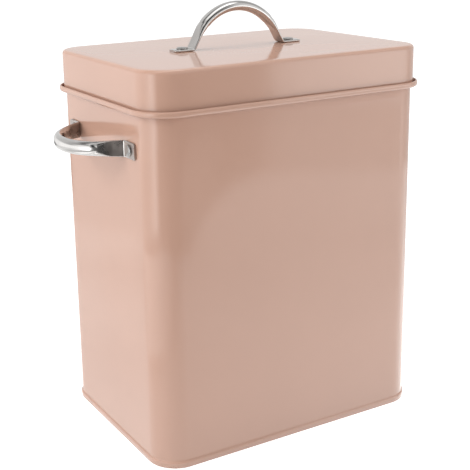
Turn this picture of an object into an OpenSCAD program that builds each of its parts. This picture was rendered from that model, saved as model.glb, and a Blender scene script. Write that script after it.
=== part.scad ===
// Laundry powder container: a folded steel box with a rounded-corner wall, a seamed-on base,
// a gutter rim, a lift-off lid and three bent-tube handles held by rivets.
// Millimetres, +Z up. The origin is at the middle of the base, on the surface it stands on.

/* [Body] */
// Width of the body across its front, outside the wall
body_w = 190; // [150:1:240]
// Depth of the body from front to back, outside the wall
body_d = 134; // [132:1:180]
// Height from the standing surface to the underside of the rim
wall_h = 212.2; // [120:0.1:280]
// Outside radius of the upright corners
corner_r = 18; // [10:0.5:19]
// Thickness of the coated steel sheet
sheet_t = 0.45; // [0.35:0.05:0.6]
// Width of the lock seam down the back
lock_w = 6.5; // [4:0.5:10]
// How far the lock seam stands out from the back
lock_out = 0.9; // [0.5:0.1:1.5]

/* [Base seam] */
// Height of the seam that joins the base to the wall
seam_h = 4.7; // [4:0.1:6]
// Height of the wall's folded foot inside the seam
fold_h = 2.6; // [1.5:0.1:3]
// Play between the folded foot and the base sheet round it
seam_play = 0.1; // [0.05:0.05:0.2]
// Radius of the seam's crowned outer face
crown_r = 6; // [5:0.5:12]
// Height of the base panel's underside above the standing surface
panel_rise = 3.5; // [2.5:0.1:6]
// Inside radius of the bend from the seam to the base panel
panel_bend_r = 1.2; // [0.6:0.1:1.8]

/* [Rim and neck] */
// Free width of the gutter outside the lid
gutter_gap = 1.95; // [1:0.05:3]
// Height of the rim's lip above the rim's underside
lip_h = 3.7; // [3.4:0.1:6]
// Outside radius of the rim's lower corner
gutter_r = 1.6; // [1:0.1:2]
// Radius of the bend where the wall turns out into the rim
rim_bend_r = 0.5; // [0.3:0.1:0.8]
// Length of the lip's folded-back edge
lip_fold = 1.4; // [1:0.1:1.6]
// How far the neck reaches down inside the wall, below the rim
neck_down = 15; // [8:0.5:15]
// Gap between the top of the neck and the underside of the lid
neck_room = 8; // [3:0.5:12]
// Length of the folded-in edge at the top of the neck
neck_fold = 3; // [2:0.5:5]

/* [Lid] */
// Height of the lid from its foot to its top
lid_h = 25.2; // [22:0.1:40]
// Gap all round between the neck and the lid's foot
lid_slip = 0.9; // [0.5:0.05:1.5]
// Gap between the lid's foot and the gutter floor
lid_rest = 0.3; // [0.3:0.05:0.6]
// Outside radius between the lid's top and its skirt
lid_edge_r = 2.3; // [1.2:0.1:4]
// Length of the folded-in edge at the lid's foot
lid_fold = 4; // [2:0.5:6]

/* [Handles] */
// Thickness of the oval handle tube, across the bow
tube_t = 6.2; // [5:0.1:7.5]
// Width of the oval handle tube, along the face it is fixed to
tube_w = 8.6; // [7.6:0.1:9.8]
// Radius of the bow, to the middle of the tube
bow_r = 32.25; // [28:0.25:36]
// How far the bow's centre lies below the face it is fixed to
bow_sink = 6.9; // [4:0.1:12]
// Height up to which the handle's legs are straight
leg_h = 9; // [6:0.5:14]
// Width of the flattened tube ends
flat_w = 10; // [8:0.1:12]
// Thickness of the flattened tube ends
flat_t = 1.4; // [1:0.1:2]
// Inside radius of the bend at each foot
foot_bend_r = 1; // [0.6:0.1:2]
// Height at which the flattened part of a leg ends
pinch_low = 7; // [5:0.5:8]
// Height at which the tube has its full thickness
pinch_high = 13.5; // [11:0.5:20]
// Distance from the foot bend to the rivet
rivet_in = 5.3; // [4.6:0.1:7]
// Length of the flat foot past the rivet
foot_past = 7; // [4.5:0.1:8]
// Corner radius of the foot's end
foot_corner_r = 2; // [0.5:0.1:3]
// Height of the side handles below the rim's underside
handle_drop = 21.5; // [20:0.1:60]

/* [Rivets] */
// Diameter of the rivet shanks
rivet_d = 3.2; // [2.5:0.1:4]
// Diameter of the rivet heads
rivet_head_d = 7; // [5:0.1:8]
// Height of the domed rivet heads
rivet_head_h = 1.3; // [0.8:0.1:2]
// Diameter of the formed rivet ends inside
rivet_tail_d = 5.4; // [4.5:0.1:7]
// Height of the formed rivet ends inside
rivet_tail_h = 1.1; // [0.6:0.1:1.5]
// Radial play between a rivet and its hole
rivet_play = 0.05; // [0.02:0.01:0.1]

/* [Hidden] */
$fn = 96;

coat = "#dcb3a4";
steel = "#c9c7c4";

// Straight runs of the outline between the corner arcs, from the middle
run_x = body_w / 2 - corner_r;
run_y = body_d / 2 - corner_r;

// Base seam: half widths of the slot for the folded foot and of the whole seam
slot_half = sheet_t + seam_play;
seam_half = slot_half + sheet_t;
slot_top = sheet_t + fold_h + seam_play;
seam_corner_r = 0.4;
crown_z = seam_h / 2;

// Lid, gutter and neck, as offsets from the wall's outer face and heights
lid_out = sheet_t + lid_slip;
gutter_w = lid_out + gutter_gap + 2 * sheet_t;
lip_z = wall_h + lip_h;
lid_foot_z = wall_h + sheet_t + lid_rest;
lid_top_z = lid_foot_z + lid_h;
neck_top_z = lid_top_z - sheet_t - neck_room;

// Handle: where the bow runs straight into a leg, and how far the leg leans from upright
leg_a = asin((bow_sink + leg_h) / bow_r);
leg_x = bow_r * cos(leg_a);

// Middle line of the foot bend and its centre, from which the leg rises
foot_mid_r = foot_bend_r + flat_t / 2;
foot_mid_z = foot_mid_r + flat_t / 2;
foot_z = foot_mid_z - foot_mid_r * sin(leg_a);
foot_x = leg_x + (leg_h - foot_z) * tan(leg_a) + foot_mid_r * cos(leg_a);
full_a = asin((bow_sink + pinch_high) / bow_r);
rivet_x = foot_x + rivet_in;
foot_end_x = rivet_x + foot_past;
handle_z = wall_h - handle_drop;

// How far the pinched end runs into the full middle of the bow, and how much slimmer it is there
lap_h = 0.3;
lap_inset = 0.03;

// Steps in the loft of a tube end
arc_steps = 9;
pinch_steps = 8;
bend_steps = 5;
corner_steps = 4;

// Margin by which cutting shapes run past what they cut
past = 1;

// A quarter turn of bent sheet about the point c, starting at angle a
module bend(c, r_in, a)
    translate(c) rotate(a) intersection() {
        difference() {
            circle(r_in + sheet_t);
            circle(r_in);
        }
        square(r_in + sheet_t);
    }

// Carries a profile round the body's outline, with x = 0 on the wall's outer face
module around()
    for (turn = [0 : 3]) {
        ahead = turn % 2 == 0 ? run_x : run_y;
        aside = turn % 2 == 0 ? run_y : run_x;
        rotate(90 * turn) {
            translate([ahead + corner_r, 0, 0]) rotate([90, 0, 0])
                linear_extrude(2 * aside, center = true) children();
            translate([ahead, aside, 0])
                rotate_extrude(angle = 90) translate([corner_r, 0]) children();
        }
    }

// The body's outline, grown outward by the given amount
module outline(grow) {
    square([body_w + 2 * grow, 2 * run_y], center = true);
    square([2 * run_x, body_d + 2 * grow], center = true);
    for (sx = [-1, 1], sy = [-1, 1])
        translate([sx * run_x, sy * run_y]) circle(corner_r + grow);
}

// Sets a shape made on a flat face onto a side wall: -1 is the left wall, 1 the right
module on_side(side)
    translate([side * body_w / 2, 0, handle_z]) rotate([90, 0, side * 90]) children();

// Both rivet places of a handle, in the handle's own frame
module at_rivets()
    for (sx = [-1, 1]) translate([sx * rivet_x, 0, 0]) children();

// Holes for one handle's rivets, through whatever lies at its face
module rivet_holes()
    at_rivets() translate([0, 0, -past - sheet_t])
        cylinder(r = rivet_d / 2 + rivet_play, h = flat_t + sheet_t + 2 * past);

// Sheet of the wall: foot folded out, upright, and rim turned out and up as a gutter
module wall_profile() {
    translate([-sheet_t, sheet_t]) square([sheet_t, wall_h - rim_bend_r - sheet_t]);
    translate([-sheet_t, sheet_t]) square([2 * sheet_t, fold_h]);
    bend([rim_bend_r, wall_h - rim_bend_r], rim_bend_r, 90);
    translate([rim_bend_r, wall_h]) square([gutter_w - rim_bend_r - gutter_r, sheet_t]);
    bend([gutter_w - gutter_r, wall_h + gutter_r], gutter_r - sheet_t, 270);
    translate([gutter_w - sheet_t, wall_h + gutter_r])
        square([sheet_t, lip_h - gutter_r - sheet_t]);
    translate([gutter_w - 2 * sheet_t, lip_z - sheet_t - lip_fold])
        square([2 * sheet_t, lip_fold]);
    translate([gutter_w - sheet_t, lip_z - sheet_t]) circle(sheet_t);
}

// Seam of the base sheet: down inside the wall, under its foot, up outside and over the fold
module seam_profile() {
    translate([-seam_half, seam_corner_r])
        square([sheet_t, panel_rise - panel_bend_r - seam_corner_r]);
    bend([-seam_half - panel_bend_r, panel_rise - panel_bend_r], panel_bend_r, 0);
    difference() {
        intersection() {
            translate([-seam_half, 0]) square([2 * seam_half, seam_h]);
            union() {
                translate([seam_half - crown_r, crown_z]) circle(crown_r);
                translate([-seam_half, 0]) square([2 * seam_half, crown_z]);
            }
            union() {
                translate([-seam_half, seam_corner_r]) square([2 * seam_half, seam_h]);
                translate([seam_corner_r - seam_half, 0])
                    square([2 * (seam_half - seam_corner_r), seam_h]);
                for (sx = [-1, 1])
                    translate([sx * (seam_half - seam_corner_r), seam_corner_r])
                        circle(seam_corner_r);
            }
        }
        translate([-slot_half, sheet_t]) square([2 * slot_half, slot_top - sheet_t]);
        translate([-seam_half - past, slot_top]) square([seam_half + past, seam_h]);
        translate([-seam_half - past, panel_rise - panel_bend_r])
            square([seam_half + past, seam_h]);
    }
}

// Sheet of the neck: a band inside the wall, with its top edge folded in
module neck_profile() {
    translate([-2 * sheet_t, wall_h - neck_down])
        square([sheet_t, neck_top_z - sheet_t - wall_h + neck_down]);
    translate([-3 * sheet_t, neck_top_z - sheet_t - neck_fold]) square([2 * sheet_t, neck_fold]);
    translate([-2 * sheet_t, neck_top_z - sheet_t]) circle(sheet_t);
}

// Sheet of the lid's skirt: the bend below the top, the skirt and its foot folded in
module skirt_profile() {
    bend([lid_out - lid_edge_r, lid_top_z - lid_edge_r], lid_edge_r - sheet_t, 0);
    translate([lid_out - sheet_t, lid_foot_z + sheet_t])
        square([sheet_t, lid_h - lid_edge_r - sheet_t]);
    translate([lid_out - 2 * sheet_t, lid_foot_z + sheet_t]) square([2 * sheet_t, lid_fold]);
    translate([lid_out - sheet_t, lid_foot_z + sheet_t]) circle(sheet_t);
}

// Stations along one end of the tube, each [x, z, tilt, half thickness, half width].
// The tube comes down the bow and its straight leg, and is pinched flat on the way.
function leg_station(z) =
    let (a = z > leg_h ? asin((bow_sink + z) / bow_r) : leg_a,
         x = z > leg_h ? bow_r * cos(a) : leg_x + (leg_h - z) * tan(leg_a),
         s = min(1, max(0, (z - pinch_low) / (pinch_high - pinch_low))),
         ease = s * s * (3 - 2 * s))
    [x, z, a,
     flat_t / 2 + (tube_t - 2 * lap_inset - flat_t) / 2 * ease,
     flat_w / 2 + (tube_w - 2 * lap_inset - flat_w) / 2 * ease];

// In the foot bend the flat tube turns outward until its tilt is 90
function bend_station(tilt) =
    [foot_x - foot_mid_r * cos(tilt), foot_mid_z - foot_mid_r * sin(tilt), tilt,
     flat_t / 2, flat_w / 2];

// At the foot's end the two corners are rounded over a quarter turn q
function end_station(q) =
    [foot_end_x - foot_corner_r * (1 - sin(q)), flat_t / 2, 90,
     flat_t / 2, flat_w / 2 - foot_corner_r * (1 - cos(q))];

// Points round one station: two straight sides joined by half circles
function section(station) =
    [for (end = [0, 1], k = [0 : arc_steps])
        let (q = 180 * (k / arc_steps + end) - 90,
             off = station[3] * sin(q),
             y = station[3] * cos(q) + (1 - 2 * end) * (station[4] - station[3]))
        [station[0] + off * cos(station[2]), y, station[1] + off * sin(station[2])]];

// Skins a row of stations into one solid
module loft(stations) {
    ring = 2 * (arc_steps + 1);
    last = (len(stations) - 1) * ring;
    sides = [for (i = [0 : len(stations) - 2], k = [0 : ring - 1])
        let (a = i * ring + k, b = i * ring + (k + 1) % ring)
        each [[a, a + ring, b], [b, a + ring, b + ring]]];
    ends = [[for (k = [0 : ring - 1]) k], [for (k = [ring - 1 : -1 : 0]) last + k]];
    polyhedron([for (s = stations) each section(s)], concat(sides, ends), convexity = 6);
}

// One end of the tube: pinched flat, bent outward and finished as a foot
module foot()
    loft([leg_station(pinch_high + lap_h),
          for (i = [0 : pinch_steps])
              leg_station(pinch_high + (pinch_low - pinch_high) * i / pinch_steps),
          for (i = [0 : bend_steps]) bend_station(leg_a + (90 - leg_a) * i / bend_steps),
          for (i = [0 : corner_steps]) end_station(90 * i / corner_steps)]);

// Oval of the full tube: two straight sides joined by half circles
module tube_profile() {
    square([tube_t, tube_w - tube_t], center = true);
    for (sy = [-1, 1]) translate([0, sy * (tube_w - tube_t) / 2]) circle(d = tube_t);
}

// A whole handle, fixed to the face z = 0 and bowed up from it, with its feet along x
module bow_handle()
    difference() {
        union() {
            translate([0, 0, -bow_sink]) rotate([90, 0, 0])
                rotate_extrude(angle = 180 - 2 * full_a, start = full_a)
                    translate([bow_r, 0]) tube_profile();
            for (side = [0, 1]) mirror([side, 0, 0]) foot();
        }
        rivet_holes();
    }

// One rivet: domed head on the foot, shank through foot and sheet, formed end inside
module rivet() {
    dome_r = (pow(rivet_head_d / 2, 2) + pow(rivet_head_h, 2)) / (2 * rivet_head_h);
    intersection() {
        translate([0, 0, flat_t + rivet_head_h - dome_r]) sphere(dome_r);
        translate([0, 0, flat_t]) cylinder(d = rivet_head_d, h = rivet_head_h + past);
    }
    translate([0, 0, -sheet_t]) cylinder(d = rivet_d, h = sheet_t + flat_t);
    translate([0, 0, -sheet_t - rivet_tail_h]) cylinder(d = rivet_tail_d, h = rivet_tail_h);
}

// Base sheet: a raised panel with the seam round its edge
module base_panel()
    color(coat) {
        around() seam_profile();
        translate([0, 0, panel_rise]) linear_extrude(sheet_t) outline(-seam_half - panel_bend_r);
    }

// Wall sheet: wrapped round the four sides and locked to itself down the back
module body_wall()
    color(coat) difference() {
        union() {
            around() wall_profile();
            translate([0, body_d / 2 + lock_out / 2 - sheet_t / 2, (seam_h + wall_h) / 2])
                cube([lock_w, lock_out + sheet_t, wall_h - seam_h], center = true);
        }
        for (side = [-1, 1]) on_side(side) rivet_holes();
    }

// Neck band that the lid slides over
module neck_collar()
    color(coat) around() neck_profile();

// Handle on the left wall
module left_handle()
    color(steel) on_side(-1) bow_handle();

// Rivets of the left handle
module left_handle_rivets()
    color(steel) on_side(-1) at_rivets() rivet();

// Handle on the right wall
module right_handle()
    color(steel) on_side(1) bow_handle();

// Rivets of the right handle
module right_handle_rivets()
    color(steel) on_side(1) at_rivets() rivet();

// Lid sheet: a flat top with a skirt all round
module lid_shell()
    color(coat) difference() {
        union() {
            around() skirt_profile();
            translate([0, 0, lid_top_z - sheet_t])
                linear_extrude(sheet_t) outline(lid_out - lid_edge_r);
        }
        translate([0, 0, lid_top_z]) rivet_holes();
    }

// Handle on the lid
module lid_handle()
    color(steel) translate([0, 0, lid_top_z]) bow_handle();

// Rivets of the lid's handle
module lid_handle_rivets()
    color(steel) translate([0, 0, lid_top_z]) at_rivets() rivet();

base_panel();
body_wall();
neck_collar();
left_handle();
left_handle_rivets();
right_handle();
right_handle_rivets();
lid_shell();
lid_handle();
lid_handle_rivets();
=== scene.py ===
"""Looks, stage and camera for a laundry powder container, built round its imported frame."""

import math

import bmesh
import bpy
from bpy.props import (
    FloatProperty,
    FloatVectorProperty,
    PointerProperty,
)
from bpy.types import Operator, Panel, PropertyGroup
from mathutils import Matrix, Vector, noise


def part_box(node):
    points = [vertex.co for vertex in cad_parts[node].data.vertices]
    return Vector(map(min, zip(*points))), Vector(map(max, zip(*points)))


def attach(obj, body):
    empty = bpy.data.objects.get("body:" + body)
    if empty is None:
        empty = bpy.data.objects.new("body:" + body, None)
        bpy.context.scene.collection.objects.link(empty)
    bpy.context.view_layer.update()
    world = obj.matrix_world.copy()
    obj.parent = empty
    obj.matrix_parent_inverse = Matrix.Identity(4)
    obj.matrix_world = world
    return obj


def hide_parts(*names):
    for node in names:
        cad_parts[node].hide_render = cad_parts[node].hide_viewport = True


bl_info = {
    "name": "Laundry Powder Container",
    "version": (1, 0, 0),
    "blender": (4, 5, 0),
    "location": "View3D > Sidebar > Container",
    "description": "Builds a coated steel powder box with a lift-off lid and tube handles",
    "category": "Add Mesh",
}

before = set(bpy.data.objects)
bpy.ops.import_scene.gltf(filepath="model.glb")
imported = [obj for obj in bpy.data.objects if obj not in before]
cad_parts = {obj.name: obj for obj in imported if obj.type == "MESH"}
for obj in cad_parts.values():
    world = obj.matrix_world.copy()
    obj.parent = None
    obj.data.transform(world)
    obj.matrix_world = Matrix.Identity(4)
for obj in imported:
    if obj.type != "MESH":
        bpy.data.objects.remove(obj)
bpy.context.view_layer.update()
MM = 0.001

WALL_LOW, WALL_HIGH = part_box("body_wall")
SEAM_LOW, SEAM_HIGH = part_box("base_panel")
NECK_LOW, NECK_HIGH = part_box("neck_collar")
LID_LOW, LID_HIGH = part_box("lid_shell")
GRIP_LOW, GRIP_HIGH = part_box("lid_handle")
SIDE_LOW, SIDE_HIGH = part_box("left_handle")
STUD_LOW, STUD_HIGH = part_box("lid_handle_rivets")

# How far the base seam stands outside the wall, the same on every side
SEAM_OUT = 1.0 * MM
# Height of the wall's folded foot inside the seam
FOLD_HEIGHT = 2.6 * MM
# How deep the pinched flats of the side handles and of the lid's handle are dulled, and how deep
# painted shade darkens their colour
SIDE_DULL_AND_SHADE = 1.0
LID_DULL_AND_SHADE = 0.3
# Share of the steel's colour left in the flats where their painted shade is full, a darker and warmer
# tone: red, green and blue
FLAT_SHADE_SHARE = (0.72, 0.66, 0.63)
# How far the lip's outer face rolls in before it turns over, in degrees
LIP_LEAN = 49
BODY_WIDTH = SEAM_HIGH.x - SEAM_LOW.x - 2 * SEAM_OUT
BODY_DEPTH = SEAM_HIGH.y - SEAM_LOW.y - 2 * SEAM_OUT


def length(name, description, default, **more):
    """A size in metres, shown in the sidebar in the scene's own unit."""
    return FloatProperty(
        name=name, description=description, default=default, min=0.0, unit="LENGTH",
        precision=5, **more,
    )


class ContainerSheet(PropertyGroup):
    """Sizes of the folded sheet pieces."""

    width: length("Body width", "Width outside the wall", BODY_WIDTH)
    depth: length("Body depth", "Depth outside the wall", BODY_DEPTH)
    corner: length("Corner radius", "Outside radius of the upright corners", 18 * MM)
    sheet: length("Sheet", "Thickness of the coated sheet", 0.45 * MM)
    wall_top: length("Wall top", "Height of the rim's underside", 212.2 * MM)
    rim_out: length("Rim", "How far the rim stands outside the wall", WALL_HIGH.x - BODY_WIDTH / 2)
    rim_round: length("Rim corner", "Outside radius of the rim's lower corner", 1.6 * MM)
    rim_bend: length("Rim bend", "Radius where the wall turns out into the rim", 0.5 * MM)
    lip_roll: length("Lip roll", "Radius with which the lip's outer face rolls in", 1.3 * MM)
    lip_fold: length("Lip fold", "Length of the lip's folded edge", 1.4 * MM)
    lock_width: length("Lock seam", "Width of the lock seam down the back", 6.5 * MM)
    lock_out: length("Lock seam height", "How far the lock seam stands out", 0.9 * MM)
    panel_rise: length("Panel rise", "Height of the base panel's underside", 3.5 * MM)
    panel_bend: length("Panel bend", "Inside radius at the base panel's edge", 1.2 * MM)
    neck_fold: length("Neck fold", "Length of the neck's folded edge", 3 * MM)
    lid_edge: length("Lid edge", "Outside radius of the lid's top edge", 2.3 * MM)
    lid_fold: length("Lid fold", "Length of the fold at the lid's foot", 4 * MM)
    wave: length("Unevenness", "Largest swell of the flat panels", 0.16 * MM)


class ContainerHandles(PropertyGroup):
    """Sizes of the bent tube handles and their rivets."""

    tube: length("Tube", "Thickness of the oval tube, across the bow", 6.2 * MM)
    tube_width: length("Tube width", "Width of the oval tube", 8.6 * MM)
    bow: length(
        "Bow radius", "Radius of the bow to the tube's middle",
        GRIP_HIGH.z - LID_HIGH.z + 6.9 * MM - 3.1 * MM,
    )
    sink: length("Bow centre", "Depth of the bow's centre below its face", 6.9 * MM)
    leg: length("Straight legs", "Height up to which the legs are straight", 9 * MM)
    flat_width: length("Flat width", "Width of the flattened ends", GRIP_HIGH.y - GRIP_LOW.y)
    flat: length("Flat thickness", "Thickness of the flattened ends", 1.4 * MM)
    foot_bend: length("Foot bend", "Inside radius of the bend at a foot", 1 * MM)
    pinch_low: length("Flat up to", "Height at which the flat part ends", 7 * MM)
    pinch_high: length("Full from", "Height at which the tube is full", 16.5 * MM)
    dish: length("Dish", "Depth of the hollow pressed into the flat legs", 0.14 * MM)
    foot_corner: length("Foot corner", "Corner radius of a foot's end", 2 * MM)
    foot_past: length("Foot past rivet", "Length of the foot past its rivet", 7 * MM)
    shank: length("Rivet shank", "Diameter of a rivet's shank", 3.2 * MM)
    head: length("Rivet head", "Diameter of a rivet's head", STUD_HIGH.y - STUD_LOW.y)
    dome: length("Rivet dome", "Height of a rivet's domed head", 1.3 * MM)
    tail: length("Rivet tail", "Diameter of a rivet's formed end", 5.4 * MM)
    tail_height: length("Tail height", "Height of a rivet's formed end", 1.1 * MM)


class ContainerLooks(PropertyGroup):
    """Colours and finishes."""

    coat: FloatVectorProperty(
        name="Coat", description="Colour of the baked coat", subtype="COLOR",
        default=(0.50, 0.303, 0.228), min=0.0, max=1.0,
    )
    gloss: FloatProperty(
        name="Gloss roughness", description="Roughness of the coat's gloss",
        default=0.09, min=0.0, max=1.0, subtype="FACTOR",
    )
    peel: FloatProperty(
        name="Orange peel", description="Strength of the coat's fine ripple",
        default=0.05, min=0.0, max=1.0, subtype="FACTOR",
    )
    steel: FloatVectorProperty(
        name="Steel", description="Colour of the polished steel", subtype="COLOR",
        default=(0.60, 0.585, 0.57), min=0.0, max=1.0,
    )
    polish: FloatProperty(
        name="Polish roughness", description="Roughness of the polished tube",
        default=0.10, min=0.0, max=1.0, subtype="FACTOR",
    )


class ContainerStage(PropertyGroup):
    """Light and background."""

    floor: FloatVectorProperty(
        name="Floor", description="Colour of the floor", subtype="COLOR",
        default=(0.84, 0.84, 0.84), min=0.0, max=1.0,
    )
    lift: FloatProperty(
        name="Floor glow", description="White added to the floor that the camera sees",
        default=0.6, min=0.0,
    )
    sky: FloatProperty(
        name="Room light", description="Strength of the even light from all round",
        default=0.62, min=0.0,
    )
    key: FloatProperty(
        name="Left lamp", description="Power of the soft lamp on the left",
        default=19.0, min=0.0, subtype="POWER", unit="POWER",
    )
    top: FloatProperty(
        name="Top lamp", description="Power of the soft lamp overhead",
        default=11.5, min=0.0, subtype="POWER", unit="POWER",
    )
    front: FloatProperty(
        name="Front lamp", description="Power of the soft lamp at the front",
        default=9.0, min=0.0, subtype="POWER", unit="POWER",
    )


def arc(centre, radius, start, end, steps):
    """Points along an arc of a section, angles in degrees."""
    made = []
    for i in range(steps + 1):
        a = math.radians(start + (end - start) * i / steps)
        made.append((centre[0] + radius * math.cos(a), centre[1] + radius * math.sin(a)))
    return made


def finely(points, step, closed=True):
    """The same section with its long straight stretches divided."""
    made = []
    ends = points[1:] + points[:1] if closed else points[1:]
    for a, b in zip(points, ends):
        parts = max(1, math.ceil(math.dist(a, b) / step))
        made += [
            (a[0] + (b[0] - a[0]) * i / parts, a[1] + (b[1] - a[1]) * i / parts)
            for i in range(parts)
        ]
    return made if closed else made + [points[-1]]


def smoothstep(low, high, value):
    """0 below low, 1 above high, and smooth between them."""
    t = min(1.0, max(0.0, (value - low) / (high - low)))
    return t * t * (3 - 2 * t)


# Steps round an upright corner, and the longest step along a straight run of the outline
CORNER_STEPS = 18
RUN_STEP = 4.5 * MM


def outline(sheet):
    """Points on the wall's outer face all round the body, each (x, y, outward x, outward y)."""
    half_x, half_y = sheet.width / 2, sheet.depth / 2
    run_x, run_y = half_x - sheet.corner, half_y - sheet.corner
    lock = sheet.lock_width / 2
    edges = [-lock - 0.3 * MM, -lock - 0.05 * MM, -lock + 0.2 * MM, -lock + 0.5 * MM]
    extra = edges + [0.0] + [-x for x in reversed(edges)]

    def run(end):
        steps = math.ceil(2 * end / RUN_STEP)
        return [-end + 2 * end * i / steps for i in range(steps)]

    plain = run(run_x)
    back = sorted([x for x in plain if abs(x) > lock + MM] + extra)
    made = [(x, -half_y, 0.0, -1.0) for x in plain]
    made += corner_points(run_x, -run_y, sheet.corner, -90)
    made += [(half_x, y, 1.0, 0.0) for y in run(run_y)]
    made += corner_points(run_x, run_y, sheet.corner, 0)
    made += [(-x, half_y, 0.0, 1.0) for x in back]
    made += corner_points(-run_x, run_y, sheet.corner, 90)
    made += [(-half_x, -y, -1.0, 0.0) for y in run(run_y)]
    made += corner_points(-run_x, -run_y, sheet.corner, 180)
    return made


def corner_points(x, y, radius, start):
    """Points round one upright corner, without its last."""
    made = []
    for i in range(CORNER_STEPS):
        a = math.radians(start + 90 * i / CORNER_STEPS)
        made.append((x + radius * math.cos(a), y + radius * math.sin(a), math.cos(a), math.sin(a)))
    return made


def finish_mesh(name, bm, sharp, material, body, node):
    """Turns a bmesh into a piece that rides on a body and stands for a node."""
    bmesh.ops.remove_doubles(bm, verts=bm.verts, dist=1e-7)
    bmesh.ops.recalc_face_normals(bm, faces=bm.faces)
    mesh = bpy.data.meshes.new(name)
    bm.to_mesh(mesh)
    bm.free()
    mesh.shade_smooth()
    mesh.set_sharp_from_angle(angle=math.radians(sharp))
    piece = bpy.data.objects.new(name, mesh)
    bpy.context.scene.collection.objects.link(piece)
    piece.data.materials.append(material)
    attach(piece, body)
    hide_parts(node)
    return piece


def sweep(bm, path, section, swell, closed):
    """Carries a section of (out, height) points round the outline."""
    rings = []
    for x, y, nx, ny in path:
        ring = []
        for out, z in section:
            more = swell(x, y, nx, ny, out, z)
            ring.append(bm.verts.new((x + nx * (out + more), y + ny * (out + more), z)))
        rings.append(ring)
    count = len(section)
    for i, ring in enumerate(rings):
        after = rings[(i + 1) % len(rings)]
        for k in range(count if closed else count - 1):
            j = (k + 1) % count
            bm.faces.new((ring[k], after[k], after[j], ring[j]))
    return rings


def close_over(bm, rings, index, steps, rise):
    """Fills the middle of a sweep with rings that shrink to a point."""
    edge = [ring[index] for ring in rings]
    last = edge
    for s in range(1, steps):
        t = 1 - s / steps
        ring = []
        for v in edge:
            x, y = v.co.x * t, v.co.y * t
            ring.append(bm.verts.new((x, y, v.co.z + rise(x, y))))
        for k in range(len(ring)):
            j = (k + 1) % len(ring)
            bm.faces.new((last[k], last[j], ring[j], ring[k]))
        last = ring
    middle = bm.verts.new((0, 0, edge[0].co.z + rise(0, 0)))
    for k in range(len(last)):
        bm.faces.new((last[k], last[(k + 1) % len(last)], middle))


def still(x, y, nx, ny, out, z):
    """No swell."""
    return 0.0


def wall_swell(sheet, side_z):
    """How the flat panels of the wall swell, with the lock seam down the back."""
    half_x, half_y = sheet.width / 2, sheet.depth / 2
    lock = sheet.lock_width / 2

    def swell(x, y, nx, ny, out, z):
        along = x if abs(ny) > 0.9 else y
        reach = (half_x if abs(ny) > 0.9 else half_y) - sheet.corner
        flat = 1.0 if max(abs(nx), abs(ny)) > 0.999 else 0.0
        side = smoothstep(0.0, 16 * MM, reach - abs(along)) * flat
        tall = smoothstep(6 * MM, 30 * MM, z) * smoothstep(0, 24 * MM, sheet.wall_top - z)
        feet = 1.0
        if abs(nx) > 0.9:
            feet = smoothstep(52 * MM, 66 * MM, math.hypot(along, (z - side_z) * 2.4))
            feet = max(feet, smoothstep(14 * MM, 26 * MM, abs(z - side_z)))
        more = 0.0
        if side * tall * feet > 0:
            p = Vector((along * 21 + 7 * nx + 3 * ny, z * 9 + 5 * ny, 2.0 * nx))
            q = Vector((along * 48 + 2 * nx, z * 26 + 11 * ny, 9.0))
            more = sheet.wave * (noise.noise(p) + 0.22 * noise.noise(q)) * side * tall * feet
        above_seam = 4.2 * MM < z < sheet.wall_top - MM
        if ny > 0.9 and abs(x) < lock + MM and out > -0.1 * MM and above_seam:
            edge = smoothstep(-0.1 * MM, 0.3 * MM, lock - abs(x))
            ends = smoothstep(0.3 * MM, 2 * MM, sheet.wall_top - MM - z)
            more += sheet.lock_out * edge * ends
        return more

    return swell


def wall_section(sheet):
    """Section of the wall sheet: folded foot, upright and gutter rim."""
    t, top, rb = sheet.sheet, sheet.wall_top, sheet.rim_bend
    out, rr = sheet.rim_out, sheet.rim_round
    lip = WALL_HIGH.z - t
    foot = t + FOLD_HEIGHT
    made = [(-t, t), (t, t), (t, foot), (0.0, foot)]
    made += arc((rb, top - rb), rb, 180, 90, 5)
    made += arc((out - rr, top + rr), rr, 270, 360, 9)
    # the lip's outer face rolls in with a large radius, then turns over with the sheet's own
    roll, lean = sheet.lip_roll, math.radians(LIP_LEAN)
    centre = (out - roll, lip + t - (roll - t) * math.sin(lean) - t)
    turn = (centre[0] + (roll - t) * math.cos(lean), centre[1] + (roll - t) * math.sin(lean))
    made += arc(centre, roll, 0, LIP_LEAN, 8)
    made += arc(turn, t, 57, 180, 8)
    made += [(turn[0] - t, lip - sheet.lip_fold), (out - t, lip - sheet.lip_fold)]
    made += arc((out - rr, top + rr), rr - t, 360, 270, 9)
    made += arc((rb, top - rb), rb + t, 90, 180, 6)
    return finely(made, 5 * MM)


def base_section(sheet):
    """Section of the base sheet from its panel's top, over the seam and back to its underside."""
    t, out, high = sheet.sheet, SEAM_OUT, SEAM_HIGH.z
    inner = -out
    rise, bend = sheet.panel_rise, sheet.panel_bend
    centre = (inner - bend, rise - bend)
    slot, slot_top = 0.1 * MM + t, 3.1 * MM
    # radii of the seam's outer face from its top down: groove, crest, crown, heel and inner heel
    groove, crest, crown, heel, inner_heel = 1.25 * MM, 1.3 * MM, 6 * MM, 0.6 * MM, 0.4 * MM
    made = arc(centre, bend + t, 90, 0, 8)
    made += [(-slot, t), (slot, t), (slot, slot_top), (0.02 * MM, slot_top)]
    made += [(0.0, high)]
    made += arc((groove, high + 0.12 * MM), groove, 186, 232, 5)
    made += arc((out - crest, high - 1.75 * MM), crest, 62, 12, 6)
    made += arc((out - crown, high / 2), crown, 4, -12, 5)
    made += arc((out - 0.75 * MM, heel), heel, -22, -90, 6)
    made += arc((inner + inner_heel, inner_heel), inner_heel, -90, -180, 5)
    made += arc(centre, bend, 0, 90, 8)
    return made


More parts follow.
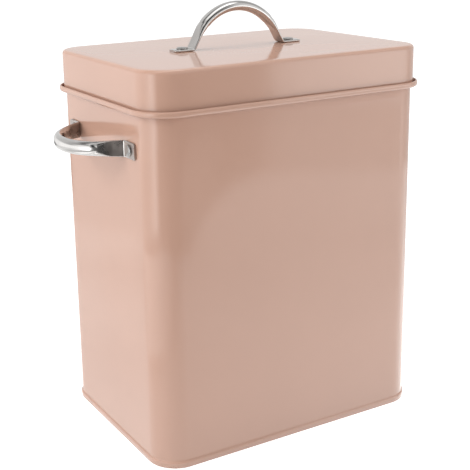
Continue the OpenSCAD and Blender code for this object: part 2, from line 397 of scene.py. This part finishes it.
def neck_section(sheet):
    """Section of the neck band with its top edge folded in."""
    t, top, low = sheet.sheet, NECK_HIGH.z, NECK_LOW.z
    made = [(-2 * t, low), (-t, low)]
    made += arc((-2 * t, top - t), t, 0, 180, 10)
    made += [(-3 * t, top - t - sheet.neck_fold), (-2 * t, top - t - sheet.neck_fold)]
    return finely(made, 6 * MM)


def lid_section(sheet):
    """Section of the lid sheet from its top's edge, down the skirt and back under the top."""
    t, out, top, foot = sheet.sheet, LID_HIGH.x - sheet.width / 2, LID_HIGH.z, LID_LOW.z
    centre = (out - sheet.lid_edge, top - sheet.lid_edge)
    made = arc(centre, sheet.lid_edge, 90, 0, 10)
    made += arc((out - t, foot + t), t, 0, -180, 10)
    made += [(out - 2 * t, foot + t + sheet.lid_fold), (out - t, foot + t + sheet.lid_fold)]
    made += arc(centre, sheet.lid_edge - t, 0, 90, 10)
    return finely(made, 3 * MM, closed=False)


def nodes_of(name):
    """A new node material, emptied."""
    material = bpy.data.materials.new(name)
    material.use_nodes = True
    tree = material.node_tree
    tree.nodes.clear()
    return material, tree


def add(tree, kind, values=None, **settings):
    """Adds a node with its settings and socket values."""
    made = tree.nodes.new(kind)
    for key, value in settings.items():
        setattr(made, key, value)
    for key, value in (values or {}).items():
        made.inputs[key].default_value = value
    return made


def coat_material(looks):
    """Baked gloss coat on steel: slight drift in tone and a fine ripple in its gloss."""
    material, tree = nodes_of("gloss_coat")
    link = tree.links.new
    out = add(tree, "ShaderNodeOutputMaterial")
    skin = add(tree, "ShaderNodeBsdfPrincipled", {"IOR": 1.6})
    place = add(tree, "ShaderNodeTexCoord")
    drift = add(tree, "ShaderNodeTexNoise", {"Scale": 11.0, "Detail": 3.0})
    tone = add(tree, "ShaderNodeValToRGB")
    deep = [c * 0.98 for c in looks.coat]
    pale = [min(1.0, c * 1.02) for c in looks.coat]
    tone.color_ramp.elements[0].color = (*deep, 1)
    tone.color_ramp.elements[0].position = 0.3
    tone.color_ramp.elements[1].color = (*pale, 1)
    tone.color_ramp.elements[1].position = 0.7
    ripple = add(tree, "ShaderNodeTexNoise", {"Scale": 520.0, "Detail": 2.0, "Roughness": 0.5})
    broad = add(tree, "ShaderNodeTexNoise", {"Scale": 120.0, "Detail": 1.0})
    both = add(tree, "ShaderNodeMath", operation="ADD")
    bump = add(tree, "ShaderNodeBump", {"Strength": looks.peel, "Distance": 0.00012})
    gloss = add(tree, "ShaderNodeMapRange", {
        "To Min": looks.gloss * 0.85, "To Max": looks.gloss * 1.15,
    })
    link(place.outputs["Object"], drift.inputs["Vector"])
    link(place.outputs["Object"], ripple.inputs["Vector"])
    link(place.outputs["Object"], broad.inputs["Vector"])
    link(drift.outputs["Fac"], tone.inputs["Fac"])
    link(tone.outputs["Color"], skin.inputs["Base Color"])
    link(ripple.outputs["Fac"], both.inputs[0])
    link(broad.outputs["Fac"], both.inputs[1])
    link(both.outputs["Value"], bump.inputs["Height"])
    link(bump.outputs["Normal"], skin.inputs["Normal"])
    link(broad.outputs["Fac"], gloss.inputs["Value"])
    link(gloss.outputs["Result"], skin.inputs["Roughness"])
    link(skin.outputs["BSDF"], out.inputs["Surface"])
    return material


def steel_material(looks):
    """Polished steel: nearly a mirror, with faint buffing lines, and pinched flats that are rougher
    and darkened with painted shade.
    """
    material, tree = nodes_of("polished_steel_finish")
    link = tree.links.new
    out = add(tree, "ShaderNodeOutputMaterial")
    skin = add(tree, "ShaderNodeBsdfPrincipled", {"Metallic": 1.0})
    place = add(tree, "ShaderNodeTexCoord")
    pinch = add(tree, "ShaderNodeAttribute", attribute_name="pinch")
    cloud = add(tree, "ShaderNodeTexNoise", {"Scale": 260.0, "Detail": 4.0, "Roughness": 0.6})
    lines = add(tree, "ShaderNodeTexNoise", {"Scale": 1500.0, "Detail": 2.0})
    dull = add(tree, "ShaderNodeMapRange", {
        "From Min": 0.35, "From Max": 0.75, "To Min": 0.16, "To Max": 0.32,
    })
    worn = add(tree, "ShaderNodeMath", operation="MULTIPLY")
    rough = add(tree, "ShaderNodeMath", {1: looks.polish}, operation="ADD")
    # the flats' colour goes towards a darker, warmer tone by the pinch layer: painted shade
    tone = add(tree, "ShaderNodeMix", data_type="RGBA")
    tone.inputs["A"].default_value = (*looks.steel, 1)
    shaded_flat_steel = [c * share for c, share in zip(looks.steel, FLAT_SHADE_SHARE)]
    tone.inputs["B"].default_value = (*shaded_flat_steel, 1)
    bump = add(tree, "ShaderNodeBump", {"Strength": 0.04, "Distance": 0.00005})
    link(place.outputs["Object"], cloud.inputs["Vector"])
    link(place.outputs["Object"], lines.inputs["Vector"])
    link(cloud.outputs["Fac"], dull.inputs["Value"])
    link(dull.outputs["Result"], worn.inputs[0])
    link(pinch.outputs["Fac"], worn.inputs[1])
    link(worn.outputs["Value"], rough.inputs[0])
    link(rough.outputs["Value"], skin.inputs["Roughness"])
    link(pinch.outputs["Fac"], tone.inputs["Factor"])
    link(tone.outputs["Result"], skin.inputs["Base Color"])
    link(lines.outputs["Fac"], bump.inputs["Height"])
    link(bump.outputs["Normal"], skin.inputs["Normal"])
    link(skin.outputs["BSDF"], out.inputs["Surface"])
    return material


def rivet_material(looks):
    """Satin rivet steel with small marks from the setting tool."""
    material, tree = nodes_of("rivet_finish")
    link = tree.links.new
    out = add(tree, "ShaderNodeOutputMaterial")
    skin = add(tree, "ShaderNodeBsdfPrincipled", {"Metallic": 1.0})
    place = add(tree, "ShaderNodeTexCoord")
    cloud = add(tree, "ShaderNodeTexNoise", {"Scale": 600.0, "Detail": 3.0})
    rough = add(tree, "ShaderNodeMapRange", {"To Min": 0.12, "To Max": 0.26})
    tone = add(tree, "ShaderNodeValToRGB")
    tone.color_ramp.elements[0].color = (*[c * 0.52 for c in looks.steel], 1)
    tone.color_ramp.elements[1].color = (*[c * 0.70 for c in looks.steel], 1)
    bump = add(tree, "ShaderNodeBump", {"Strength": 0.12, "Distance": 0.00008})
    link(place.outputs["Object"], cloud.inputs["Vector"])
    link(cloud.outputs["Fac"], rough.inputs["Value"])
    link(cloud.outputs["Fac"], tone.inputs["Fac"])
    link(cloud.outputs["Fac"], bump.inputs["Height"])
    link(rough.outputs["Result"], skin.inputs["Roughness"])
    link(tone.outputs["Color"], skin.inputs["Base Color"])
    link(bump.outputs["Normal"], skin.inputs["Normal"])
    link(skin.outputs["BSDF"], out.inputs["Surface"])
    return material


def shared(name, make, looks):
    """A material by name, made the first time it is asked for."""
    return bpy.data.materials.get(name) or make(looks)


def coat(context):
    """The gloss coat."""
    return shared("gloss_coat", coat_material, context.scene.container_looks)


class CONTAINER_OT_wall(Operator):
    """Builds the wall sheet with its gutter rim and lock seam"""

    bl_idname = "container.wall"
    bl_label = "Wall and rim"

    def execute(self, context):
        sheet = context.scene.container_sheet
        bm = bmesh.new()
        swell = wall_swell(sheet, (SIDE_LOW.z + SIDE_HIGH.z) / 2)
        sweep(bm, outline(sheet), wall_section(sheet), swell, closed=True)
        finish_mesh("wall_sheet", bm, 50, coat(context), "container", "body_wall")
        return {"FINISHED"}


class CONTAINER_OT_base(Operator):
    """Builds the base sheet with its raised panel and rolled seam"""

    bl_idname = "container.base"
    bl_label = "Base and seam"

    def execute(self, context):
        sheet = context.scene.container_sheet
        bm = bmesh.new()
        rings = sweep(bm, outline(sheet), base_section(sheet), still, closed=False)
        close_over(bm, rings, 0, 10, lambda x, y: 0.0)
        close_over(bm, rings, -1, 10, lambda x, y: 0.0)
        finish_mesh("base_sheet", bm, 50, coat(context), "container", "base_panel")
        return {"FINISHED"}


class CONTAINER_OT_neck(Operator):
    """Builds the neck band that the lid slides over"""

    bl_idname = "container.neck"
    bl_label = "Neck band"

    def execute(self, context):
        sheet = context.scene.container_sheet
        bm = bmesh.new()
        sweep(bm, outline(sheet), neck_section(sheet), still, closed=True)
        finish_mesh("neck_band", bm, 50, coat(context), "container", "neck_collar")
        return {"FINISHED"}


class CONTAINER_OT_lid(Operator):
    """Builds the lid sheet"""

    bl_idname = "container.lid"
    bl_label = "Lid"

    def execute(self, context):
        sheet = context.scene.container_sheet
        bm = bmesh.new()
        half_x, half_y = sheet.width / 2, sheet.depth / 2

        def rise(x, y):
            edge = smoothstep(0, 22 * MM, min(half_x - abs(x), half_y - abs(y)))
            feet = smoothstep(26 * MM, 60 * MM, math.hypot(x * 0.62, y * 1.8))
            return sheet.wave * noise.noise(Vector((x * 18, y * 21, 4.0))) * edge * feet

        def bow(x, y, nx, ny, out, z):
            flat = 1.0 if max(abs(nx), abs(ny)) > 0.999 else 0.0
            along, reach = (x, half_x) if abs(ny) > 0.9 else (y, half_y)
            side = smoothstep(0.0, 16 * MM, reach - sheet.corner - abs(along)) * flat
            skirt = smoothstep(0, 5 * MM, LID_HIGH.z - z) * smoothstep(0, 6 * MM, z - LID_LOW.z)
            ripple = noise.noise(Vector((along * 24, 6 * nx, 3 + 4 * ny)))
            return 0.3 * sheet.wave * ripple * side * skirt

        rings = sweep(bm, outline(sheet), lid_section(sheet), bow, closed=False)
        close_over(bm, rings, 0, 16, rise)
        close_over(bm, rings, -1, 16, rise)
        finish_mesh("lid_sheet", bm, 50, coat(context), "lid", "lid_shell")
        return {"FINISHED"}


def leg_place(h, z):
    """Middle of the tube at a height: distance out and tilt, on the bow or its straight leg."""
    if z > h.leg:
        tilt = math.asin((h.sink + z) / h.bow)
        return h.bow * math.cos(tilt), tilt
    lean = math.asin((h.sink + h.leg) / h.bow)
    return h.bow * math.cos(lean) + (h.leg - z) * math.tan(lean), lean


def foot_start(h):
    """The foot bend: distance out and height of its centre, its radius and the leg's lean."""
    radius = h.foot_bend + h.flat / 2
    height = radius + h.flat / 2
    lean = math.asin((h.sink + h.leg) / h.bow)
    leg_foot = height - radius * math.sin(lean)
    out = leg_place(h, leg_foot)[0] + radius * math.cos(lean)
    return out, height, radius, lean


def rivet_out(h):
    """Distance of a handle's rivets from its middle."""
    return (STUD_HIGH.x - STUD_LOW.x - h.head) / 2


def tube_stations(h):
    """The handle's middle station, and those of one half of it from there to the foot's end.

    Each is (out, height, tilt, half thickness, half width, half flat, pinch, dish).
    """
    out, height, radius, lean = foot_start(h)
    end = rivet_out(h) + h.foot_past
    upright = math.pi / 2
    # height at which the edges have spread to their full width, near the foot
    flare_low = 2 * MM

    def bow(z):
        full = min(1.0, max(0.0, (z - h.pinch_low) / (h.pinch_high - h.pinch_low)))
        full = 0.4 * full + 0.6 * smoothstep(0.0, 1.0, full)
        flare = min(1.0, max(0.0, (h.pinch_high - z) / (h.pinch_high - flare_low)))
        place, tilt = leg_place(h, z)
        return (
            place, z, tilt,
            (h.flat + (h.tube - h.flat) * full) / 2,
            (h.tube_width + (h.flat_width - h.tube_width) * flare) / 2,
            (h.flat_width - h.flat) / 2 * (1 - full),
            1 - full, h.dish * (1 - full) ** 2 * smoothstep(1.5 * MM, 4 * MM, z),
        )

    def flat(place, z, tilt, trim=0.0):
        half = h.flat_width / 2 - trim
        return place, z, tilt, h.flat / 2, half, half - h.flat / 2, 1.0, 0.0

    def spread(start, stop, steps):
        return [start + (stop - start) * i / steps for i in range(1, steps + 1)]

    full = math.asin((h.sink + h.pinch_high) / h.bow)
    made = [bow(h.bow * math.sin(a) - h.sink) for a in spread(upright, full, 30)]
    made += [bow(z) for z in spread(h.pinch_high, h.pinch_low, 26)]
    made += [bow(z) for z in spread(h.pinch_low, height - radius * math.sin(lean), 8)]
    for a in spread(lean, upright, 12):
        bend = flat(out - radius * math.cos(a), height - radius * math.sin(a), a)
        made.append((*bend[:6], 0.15, 0.0))
    made.append(flat((out + end) / 2, h.flat / 2, upright))
    for q in spread(-upright / 6, upright, 8):
        q = max(0.0, q)
        back = h.foot_corner * (1 - math.sin(q))
        made.append(flat(end - back, h.flat / 2, upright, h.foot_corner * (1 - math.cos(q))))
    return bow(h.bow - h.sink), made


# Points round the tube, and the cosine at which a pinched ring turns from its flat to its edge
RING = 56
FACE_SHARE = math.sqrt(0.5)


def tube_ring(bm, station, side):
    """One ring of points round the tube: half ellipses at the edges, joined by flats where pinched."""
    out, height, tilt, thick, wide, flat, pinch, dish = station
    flat = min(flat, wide - 0.5 * thick)
    made = []
    for k in range(RING):
        q = 2 * math.pi * (k + 0.5) / RING
        c, s = math.cos(q), math.sin(q)
        if abs(c) < FACE_SHARE:
            flat_y = flat * c / FACE_SHARE
            flat_off = math.copysign(thick, s)
        else:
            turn = 2 * math.asin(abs(s))
            flat_y = math.copysign(flat + (wide - flat) * math.cos(turn), c)
            flat_off = math.copysign(thick * math.sin(turn), s)
        share = min(1.0, 4 * pinch)
        y = wide * c * (1 - share) + flat_y * share
        off = thick * s * (1 - share) + flat_off * share
        if s > 0:
            off -= dish * max(0.0, 1 - (1.25 * y / wide) ** 2)
        place = (side * (out + off * math.cos(tilt)), y, height + off * math.sin(tilt))
        made.append(bm.verts.new(place))
    return made


def tube_handle(h, dull):
    """A whole handle, fixed to the plane z = 0, with its feet along x and its flats this dull and this
    deep in painted shade.
    """
    bm = bmesh.new()
    # the pinch layer makes the pinched flats rougher and paints shade into their colour, only lightly
    # at the foot bend
    layer = bm.verts.layers.float.new("pinch")
    middle, half = tube_stations(h)
    rings = [tube_ring(bm, s, -1) for s in reversed(half)]
    rings += [tube_ring(bm, middle, 1)]
    rings += [tube_ring(bm, s, 1) for s in half]
    for ring, station in zip(rings, [*reversed(half), middle, *half]):
        for v in ring:
            v[layer] = dull * station[6]
    for a, b in zip(rings, rings[1:]):
        for k in range(RING):
            j = (k + 1) % RING
            bm.faces.new((a[k], a[j], b[j], b[k]))
    for ring in (rings[0], rings[-1]):
        for k in range(RING // 2 - 1):
            bm.faces.new((ring[k], ring[k + 1], ring[RING - 2 - k], ring[RING - 1 - k]))
    return bm


def rivet_shape(bm, x, h, sheet):
    """Adds one rivet on the plane z = 0, at x: domed head, shank and formed end."""
    head, top = h.head / 2, h.flat
    rim = 0.3 * h.dome
    points = [(0.0, top + h.dome)]
    for step in range(1, 12):
        a = math.radians(90 * step / 12)
        out = head * math.sin(a) ** 0.8
        points.append((out, top + rim + (h.dome - rim) * math.cos(a) ** 0.7))
    points += [(head, top + rim)]
    points += [(head, top + 0.09 * MM), (head - 0.08 * MM, top), (h.shank / 2, top)]
    points += [(h.shank / 2, -sheet), (h.tail / 2 - 0.2 * MM, -sheet)]
    points += arc((h.tail / 2 - 0.3 * MM, -sheet - h.tail_height + 0.3 * MM), 0.3 * MM, 0, -90, 4)
    points += [(h.tail / 5, -sheet - h.tail_height), (0.0, -sheet - h.tail_height + 0.25 * MM)]
    count = 36
    turns = [2 * math.pi * k / count for k in range(count)]
    rings = []
    for r, z in points:
        if r == 0.0:
            rings.append([bm.verts.new((x, 0, z))])
        else:
            rings.append([bm.verts.new((x + r * math.cos(a), r * math.sin(a), z)) for a in turns])
    for a, b in zip(rings, rings[1:]):
        for k in range(count):
            j = (k + 1) % count
            if len(a) == 1:
                bm.faces.new((a[0], b[k], b[j]))
            elif len(b) == 1:
                bm.faces.new((a[k], b[0], a[j]))
            else:
                bm.faces.new((a[k], b[k], b[j], a[j]))


def handle_places(sheet):
    """Where each handle stands: name, body and the turn and shift from the plane z = 0."""
    side_z = (SIDE_LOW.z + SIDE_HIGH.z) / 2
    half = sheet.width / 2
    left = Matrix(((0, 0, -1, -half), (-1, 0, 0, 0), (0, 1, 0, side_z), (0, 0, 0, 1)))
    right = Matrix(((0, 0, 1, half), (1, 0, 0, 0), (0, 1, 0, side_z), (0, 0, 0, 1)))
    return (
        ("lid", "lid", Matrix.Translation((0, 0, LID_HIGH.z))),
        ("left", "container", left),
        ("right", "container", right),
    )


class CONTAINER_OT_handles(Operator):
    """Builds the three bent tube handles"""

    bl_idname = "container.handles"
    bl_label = "Handles"

    def execute(self, context):
        scene = context.scene
        steel = shared("polished_steel_finish", steel_material, scene.container_looks)
        for name, body, place in handle_places(scene.container_sheet):
            # the side handles' flats get the full painted shade, the lid handle's flats less
            dull = LID_DULL_AND_SHADE if name == "lid" else SIDE_DULL_AND_SHADE
            bm = tube_handle(scene.container_handles, dull)
            bm.transform(place)
            finish_mesh(
                f"{name}_handle_tube", bm, 55, steel, body, f"{name}_handle"
            )
        return {"FINISHED"}


class CONTAINER_OT_rivets(Operator):
    """Builds the rivets of the three handles"""

    bl_idname = "container.rivets"
    bl_label = "Rivets"

    def execute(self, context):
        scene = context.scene
        h = scene.container_handles
        steel = shared("rivet_finish", rivet_material, scene.container_looks)
        for name, body, place in handle_places(scene.container_sheet):
            bm = bmesh.new()
            for side in (-1, 1):
                rivet_shape(bm, side * rivet_out(h), h, scene.container_sheet.sheet)
            bm.transform(place)
            finish_mesh(
                f"{name}_handle_rivet_pair", bm, 40, steel, body,
                f"{name}_handle_rivets",
            )
        return {"FINISHED"}


# Walls of the studio that only reflections see, as posts (x, y, and the brightness at the foot,
# at the lid, above it and near the top), going round from the camera's left
DARK_SIDE = (
    (-0.475, -0.30, 0.3, 0.9, 0.5, 0.1),
    (-0.45, -0.32, 0.35, 0.35, 0.2, 0.03),
    (-0.39, -0.342, 0.25, 0.22, 0.2, 0.03),
    (-0.28, -0.41, 0.10, 0.08, 0.4, 0.03),
    (-0.16, -0.447, 0.05, 0.05, 0.8, 0.03),
    (-0.03, -0.45, 0.05, 0.05, 0.9, 0.03),
    (0.11, -0.41, 0.35, 0.05, 0.9, 0.1),
    (0.17, -0.49, 0.45, 0.2, 0.9, 0.3),
    (0.266, -0.597, 0.22, 0.3, 0.6, 0.3),
    (0.335, -0.643, 0.45, 0.4, 0.4, 0.3),
    (0.350, -0.636, 0.75, 0.8, 0.9, 0.6),
)
RIGHT_SOFTBOX = (
    (0.350, -0.636, 0.75, 0.8, 0.9, 0.6),
    (0.362, -0.630, 1.0, 1.9, 1.3, 0.9),
    (0.40, -0.61, 1.2, 2.5, 1.3, 1.0),
    (0.50, -0.556, 1.4, 3.1, 1.3, 1.0),
    (0.62, -0.47, 1.9, 2.6, 1.2, 1.0),
    (0.75, -0.25, 1.0, 1.0, 0.9, 0.9),
)
BACK = (
    (0.75, -0.25, 1.0, 1.0, 0.9, 0.9),
    (0.75, 0.10, 0.9, 0.9, 0.85, 0.85),
    (0.5, 0.6, 0.85, 0.85, 0.82, 0.82),
    (0.1, 0.68, 0.82, 0.82, 0.82, 0.82),
    (-0.20, 0.60, 0.3, 1.1, 0.85, 0.85),
)
LEFT_BACK = (
    (-0.20, 0.60, 0.3, 1.1, 0.85, 0.85),
    (-0.254, 0.427, 1.0, 1.3, 0.8, 0.8),
    (-0.287, 0.335, 1.05, 1.3, 0.8, 0.8),
    (-0.365, 0.29, 1.1, 1.5, 0.8, 0.8),
    (-0.485, 0.15, 1.1, 1.5, 0.6, 0.6),
)
LEFT_SOFTBOX = (
    (-0.485, 0.15, 1.1, 1.5, 0.6, 0.6),
    (-0.53, 0.02, 1.5, 1.6, 1.3, 0.35),
    (-0.54, -0.10, 2.2, 2.4, 1.5, 0.5),
    (-0.54, -0.17, 2.7, 3.1, 1.3, 0.9),
    (-0.515, -0.22, 1.7, 2.6, 0.9, 0.5),
    (-0.475, -0.30, 0.3, 0.9, 0.5, 0.1),
)
# A low card in front of the left corner, for the light on the corner's low half
LEFT_LOW = (
    (-0.20, 0.07, 1.5),
    (-0.24, 0.00, 1.75),
    (-0.25, -0.07, 1.8),
    (-0.24, -0.13, 1.45),
    (-0.22, -0.17, 1.2),
    (-0.18, -0.20, 0.9),
    (-0.14, -0.21, 0.65),
)
LOW_ROWS = (0.001, 0.08)
# Heights of the rows of brightness, two for each brightness
WALL_ROWS = (0.001, 0.085, 0.10, 0.235, 0.29, 0.36, 0.46, 0.60)


def studio_wall(name, posts, heights=WALL_ROWS):
    """A wall that only reflections see, with its brightness in a colour layer."""
    bm = bmesh.new()
    layer = bm.verts.layers.float_color.new("glow")
    columns = []
    for x, y, *glow in posts:
        column = []
        for row, z in enumerate(heights):
            v = bm.verts.new((x, y, z))
            v[layer] = (*[glow[row // 2]] * 3, 1)
            column.append(v)
        columns.append(column)
    for a, b in zip(columns, columns[1:]):
        for k in range(len(heights) - 1):
            bm.faces.new((a[k], b[k], b[k + 1], a[k + 1]))
    glowing(name, bm)


def glowing(name, bm):
    """Turns a bmesh into a piece of the studio that shines by its colour layer."""
    mesh = bpy.data.meshes.new(name)
    bm.to_mesh(mesh)
    bm.free()
    piece = bpy.data.objects.new(name, mesh)
    bpy.context.scene.collection.objects.link(piece)
    material, tree = nodes_of(name + "_glow")
    out = add(tree, "ShaderNodeOutputMaterial")
    glow = add(tree, "ShaderNodeEmission", {"Strength": 1.0})
    tint = add(tree, "ShaderNodeAttribute", attribute_name="glow")
    tree.links.new(tint.outputs["Color"], glow.inputs["Color"])
    tree.links.new(glow.outputs["Emission"], out.inputs["Surface"])
    piece.data.materials.append(material)
    piece.visible_camera = False
    piece.visible_diffuse = False
    piece.visible_shadow = False


# Cards overhead that only reflections see, as rows (y) of brightness at each of CARD_X
CARD_X = (-0.60, -0.30, -0.10, 0.12, 0.22, 0.50, 0.80)
CARD_ROWS = (
    (-0.66, 0.10, 0.10, 0.10, 0.40, 0.60, 1.20, 0.80),
    (-0.29, 0.15, 0.10, 0.10, 0.30, 0.60, 1.10, 0.80),
    (-0.23, 0.90, 0.80, 1.30, 0.30, 1.10, 1.00, 0.60),
    (-0.13, 1.00, 0.80, 1.60, 0.40, 0.80, 0.80, 0.60),
    (-0.06, 1.10, 0.80, 1.80, 2.60, 0.60, 0.50, 0.50),
    (-0.01, 1.10, 0.75, 1.80, 3.00, 0.60, 0.50, 0.50),
    (0.04, 0.30, 0.15, 0.40, 2.80, 0.60, 0.50, 0.50),
    (0.12, 0.30, 0.15, 0.30, 0.90, 0.45, 0.50, 0.50),
    (0.26, 0.85, 0.85, 0.85, 0.70, 0.60, 0.60, 0.55),
    (0.70, 0.95, 0.95, 0.85, 0.80, 0.80, 0.80, 0.70),
)
CARD_HEIGHT = 0.62
# The floor as reflections see it, in the same way
FLOOR_X = (-0.60, -0.30, -0.17, -0.08, 0.06, 0.20, 0.50, 1.0)
FLOOR_ROWS = (
    (-0.70, 0.60, 0.20, 0.20, 0.30, 0.80, 1.20, 1.90, 1.20),
    (-0.42, 0.60, 0.25, 0.40, 0.70, 1.00, 1.50, 2.10, 1.20),
    (-0.25, 0.60, 0.35, 0.80, 1.00, 1.60, 1.90, 2.10, 1.20),
    (-0.07, 0.60, 0.70, 1.50, 1.50, 2.20, 2.60, 2.00, 1.20),
    (0.07, 0.90, 0.85, 1.20, 1.30, 1.20, 1.20, 1.20, 1.00),
    (0.18, 0.80, 0.85, 1.30, 1.20, 1.20, 1.00, 1.00, 1.00),
    (0.35, 1.10, 1.25, 1.20, 1.00, 0.90, 0.90, 0.90, 0.90),
    (0.70, 1.00, 1.00, 0.90, 0.85, 0.82, 0.82, 0.85, 0.90),
)


def card(name, columns, levels, height):
    """A level card that only reflections see, with its brightness in a colour layer."""
    bm = bmesh.new()
    layer = bm.verts.layers.float_color.new("glow")
    rows = []
    for y, *glow in levels:
        row = []
        for x, level in zip(columns, glow):
            v = bm.verts.new((x, y, height))
            v[layer] = (level, level, level, 1)
            row.append(v)
        rows.append(row)
    for a, b in zip(rows, rows[1:]):
        for k in range(len(columns) - 1):
            bm.faces.new((a[k], b[k], b[k + 1], a[k + 1]))
    glowing(name, bm)


def lamp(name, place, aim, size, power):
    """A soft square lamp that reflections don't see."""
    data = bpy.data.lights.new(name, "AREA")
    data.size = size
    data.energy = power
    made = bpy.data.objects.new(name, data)
    made.location = place
    made.rotation_euler = (Vector(aim) - Vector(place)).to_track_quat("-Z", "Y").to_euler()
    made.visible_glossy = False
    bpy.context.scene.collection.objects.link(made)
    return made


# Camera: place in metres, turns in degrees, focal length and frame centre in pixels of the frame
CAMERA_PLACE = (-0.33454, -0.54348, 0.31659)
CAMERA_YAW, CAMERA_PITCH, CAMERA_ROLL = 29.36, 14.65, -1.31
FOCAL_PX, CENTRE_PX, FRAME_PX, SENSOR_MM = 1009.87, (199.77, 182.46), 470, 36.0


def camera():
    """The camera at the photograph's viewing angle."""
    yaw, pitch, roll = (math.radians(a) for a in (CAMERA_YAW, CAMERA_PITCH, CAMERA_ROLL))
    ahead = Vector((
        math.sin(yaw) * math.cos(pitch), math.cos(yaw) * math.cos(pitch), -math.sin(pitch)
    ))
    right = Vector((math.cos(yaw), -math.sin(yaw), 0))
    up = right.cross(ahead)
    right, up = (
        right * math.cos(roll) + up * math.sin(roll),
        up * math.cos(roll) - right * math.sin(roll),
    )
    data = bpy.data.cameras.new("camera")
    data.sensor_width = SENSOR_MM
    data.lens = FOCAL_PX / FRAME_PX * SENSOR_MM
    data.shift_x = 0.5 - CENTRE_PX[0] / FRAME_PX
    data.shift_y = CENTRE_PX[1] / FRAME_PX - 0.5
    made = bpy.data.objects.new("camera", data)
    made.matrix_world = Matrix((
        (right.x, up.x, -ahead.x, CAMERA_PLACE[0]),
        (right.y, up.y, -ahead.y, CAMERA_PLACE[1]),
        (right.z, up.z, -ahead.z, CAMERA_PLACE[2]),
        (0, 0, 0, 1),
    ))
    bpy.context.scene.collection.objects.link(made)
    bpy.context.scene.camera = made


def floor(settings):
    """A pale floor that keeps the object's shadow and is white to the camera."""
    bm = bmesh.new()
    bmesh.ops.create_grid(bm, x_segments=2, y_segments=2, size=4.0)
    mesh = bpy.data.meshes.new("floor")
    bm.to_mesh(mesh)
    bm.free()
    piece = bpy.data.objects.new("floor", mesh)
    bpy.context.scene.collection.objects.link(piece)
    material, tree = nodes_of("pale_floor")
    link = tree.links.new
    out = add(tree, "ShaderNodeOutputMaterial")
    paint = add(tree, "ShaderNodeBsdfDiffuse", {"Color": (*settings.floor, 1)})
    glow = add(tree, "ShaderNodeEmission", {"Color": (1, 1, 1, 1)})
    path = add(tree, "ShaderNodeLightPath")
    seen = add(tree, "ShaderNodeMath", {1: settings.lift}, operation="MULTIPLY")
    both = add(tree, "ShaderNodeAddShader")
    link(path.outputs["Is Camera Ray"], seen.inputs[0])
    link(seen.outputs["Value"], glow.inputs["Strength"])
    link(paint.outputs["BSDF"], both.inputs[0])
    link(glow.outputs["Emission"], both.inputs[1])
    link(both.outputs["Shader"], out.inputs["Surface"])
    piece.data.materials.append(material)


def sky(settings):
    """Even light from all round, white where the camera, gloss or glass looks at it."""
    world = bpy.data.worlds.new("studio")
    bpy.context.scene.world = world
    world.use_nodes = True
    tree = world.node_tree
    tree.nodes.clear()
    link = tree.links.new
    out = add(tree, "ShaderNodeOutputWorld")
    dim = add(tree, "ShaderNodeBackground", {"Color": (1, 1, 1, 1), "Strength": settings.sky})
    white = add(tree, "ShaderNodeBackground", {"Color": (1, 1, 1, 1), "Strength": 1.0})
    path = add(tree, "ShaderNodeLightPath")
    seen = add(tree, "ShaderNodeMath", operation="MAXIMUM")
    seen_too = add(tree, "ShaderNodeMath", operation="MAXIMUM")
    pick = add(tree, "ShaderNodeMixShader")
    link(path.outputs["Is Camera Ray"], seen.inputs[0])
    link(path.outputs["Is Glossy Ray"], seen.inputs[1])
    link(seen.outputs["Value"], seen_too.inputs[0])
    link(path.outputs["Is Transmission Ray"], seen_too.inputs[1])
    link(seen_too.outputs["Value"], pick.inputs["Fac"])
    link(dim.outputs["Background"], pick.inputs[1])
    link(white.outputs["Background"], pick.inputs[2])
    link(pick.outputs["Shader"], out.inputs["Surface"])


class CONTAINER_OT_stage(Operator):
    """Sets up the floor, background, lamps and camera"""

    bl_idname = "container.stage"
    bl_label = "Stage"

    def execute(self, context):
        settings = context.scene.container_stage
        context.scene.view_settings.view_transform = "Standard"
        sky(settings)
        floor(settings)
        middle = (0, 0, 0.12)
        lamp("left_lamp", (-1.55, 0.3, 0.9), middle, 1.2, settings.key)
        lamp("top_lamp", (0.1, 0.1, 1.7), middle, 1.4, settings.top)
        lamp("front_lamp", (0.9, -1.6, 0.9), middle, 1.2, settings.front)
        studio_wall("dark_side", DARK_SIDE)
        studio_wall("right_softbox", RIGHT_SOFTBOX)
        studio_wall("back", BACK)
        studio_wall("left_back", LEFT_BACK)
        studio_wall("left_softbox", LEFT_SOFTBOX)
        studio_wall("left_low", LEFT_LOW, LOW_ROWS)
        card("overhead", CARD_X, CARD_ROWS, CARD_HEIGHT)
        card("floor_card", FLOOR_X, FLOOR_ROWS, 0.2 * MM)
        camera()
        return {"FINISHED"}


class CONTAINER_PT_panel(Panel):
    """Lists the steps in the 3D view's sidebar"""

    bl_label = "Powder container"
    bl_space_type = "VIEW_3D"
    bl_region_type = "UI"
    bl_category = "Container"

    def draw(self, context):
        for step in STEPS:
            self.layout.operator(step.bl_idname)
        for group in GROUPS:
            column = self.layout.column()
            settings = getattr(context.scene, group)
            for name in settings.__annotations__:
                column.prop(settings, name)


STEPS = (
    CONTAINER_OT_stage,
    CONTAINER_OT_wall,
    CONTAINER_OT_base,
    CONTAINER_OT_neck,
    CONTAINER_OT_lid,
    CONTAINER_OT_handles,
    CONTAINER_OT_rivets,
)
GROUPS = {
    "container_sheet": ContainerSheet,
    "container_handles": ContainerHandles,
    "container_looks": ContainerLooks,
    "container_stage": ContainerStage,
}


def register():
    for made in (*GROUPS.values(), *STEPS, CONTAINER_PT_panel):
        bpy.utils.register_class(made)
    for name, group in GROUPS.items():
        setattr(bpy.types.Scene, name, PointerProperty(type=group))


def unregister():
    for name in GROUPS:
        delattr(bpy.types.Scene, name)
    for made in (CONTAINER_PT_panel, *reversed(STEPS), *reversed(GROUPS.values())):
        bpy.utils.unregister_class(made)


def main():
    register()
    bpy.ops.container.stage()
    bpy.ops.container.wall()
    bpy.ops.container.base()
    bpy.ops.container.neck()
    bpy.ops.container.lid()
    bpy.ops.container.handles()
    bpy.ops.container.rivets()


if __name__ == "__main__":
    main()
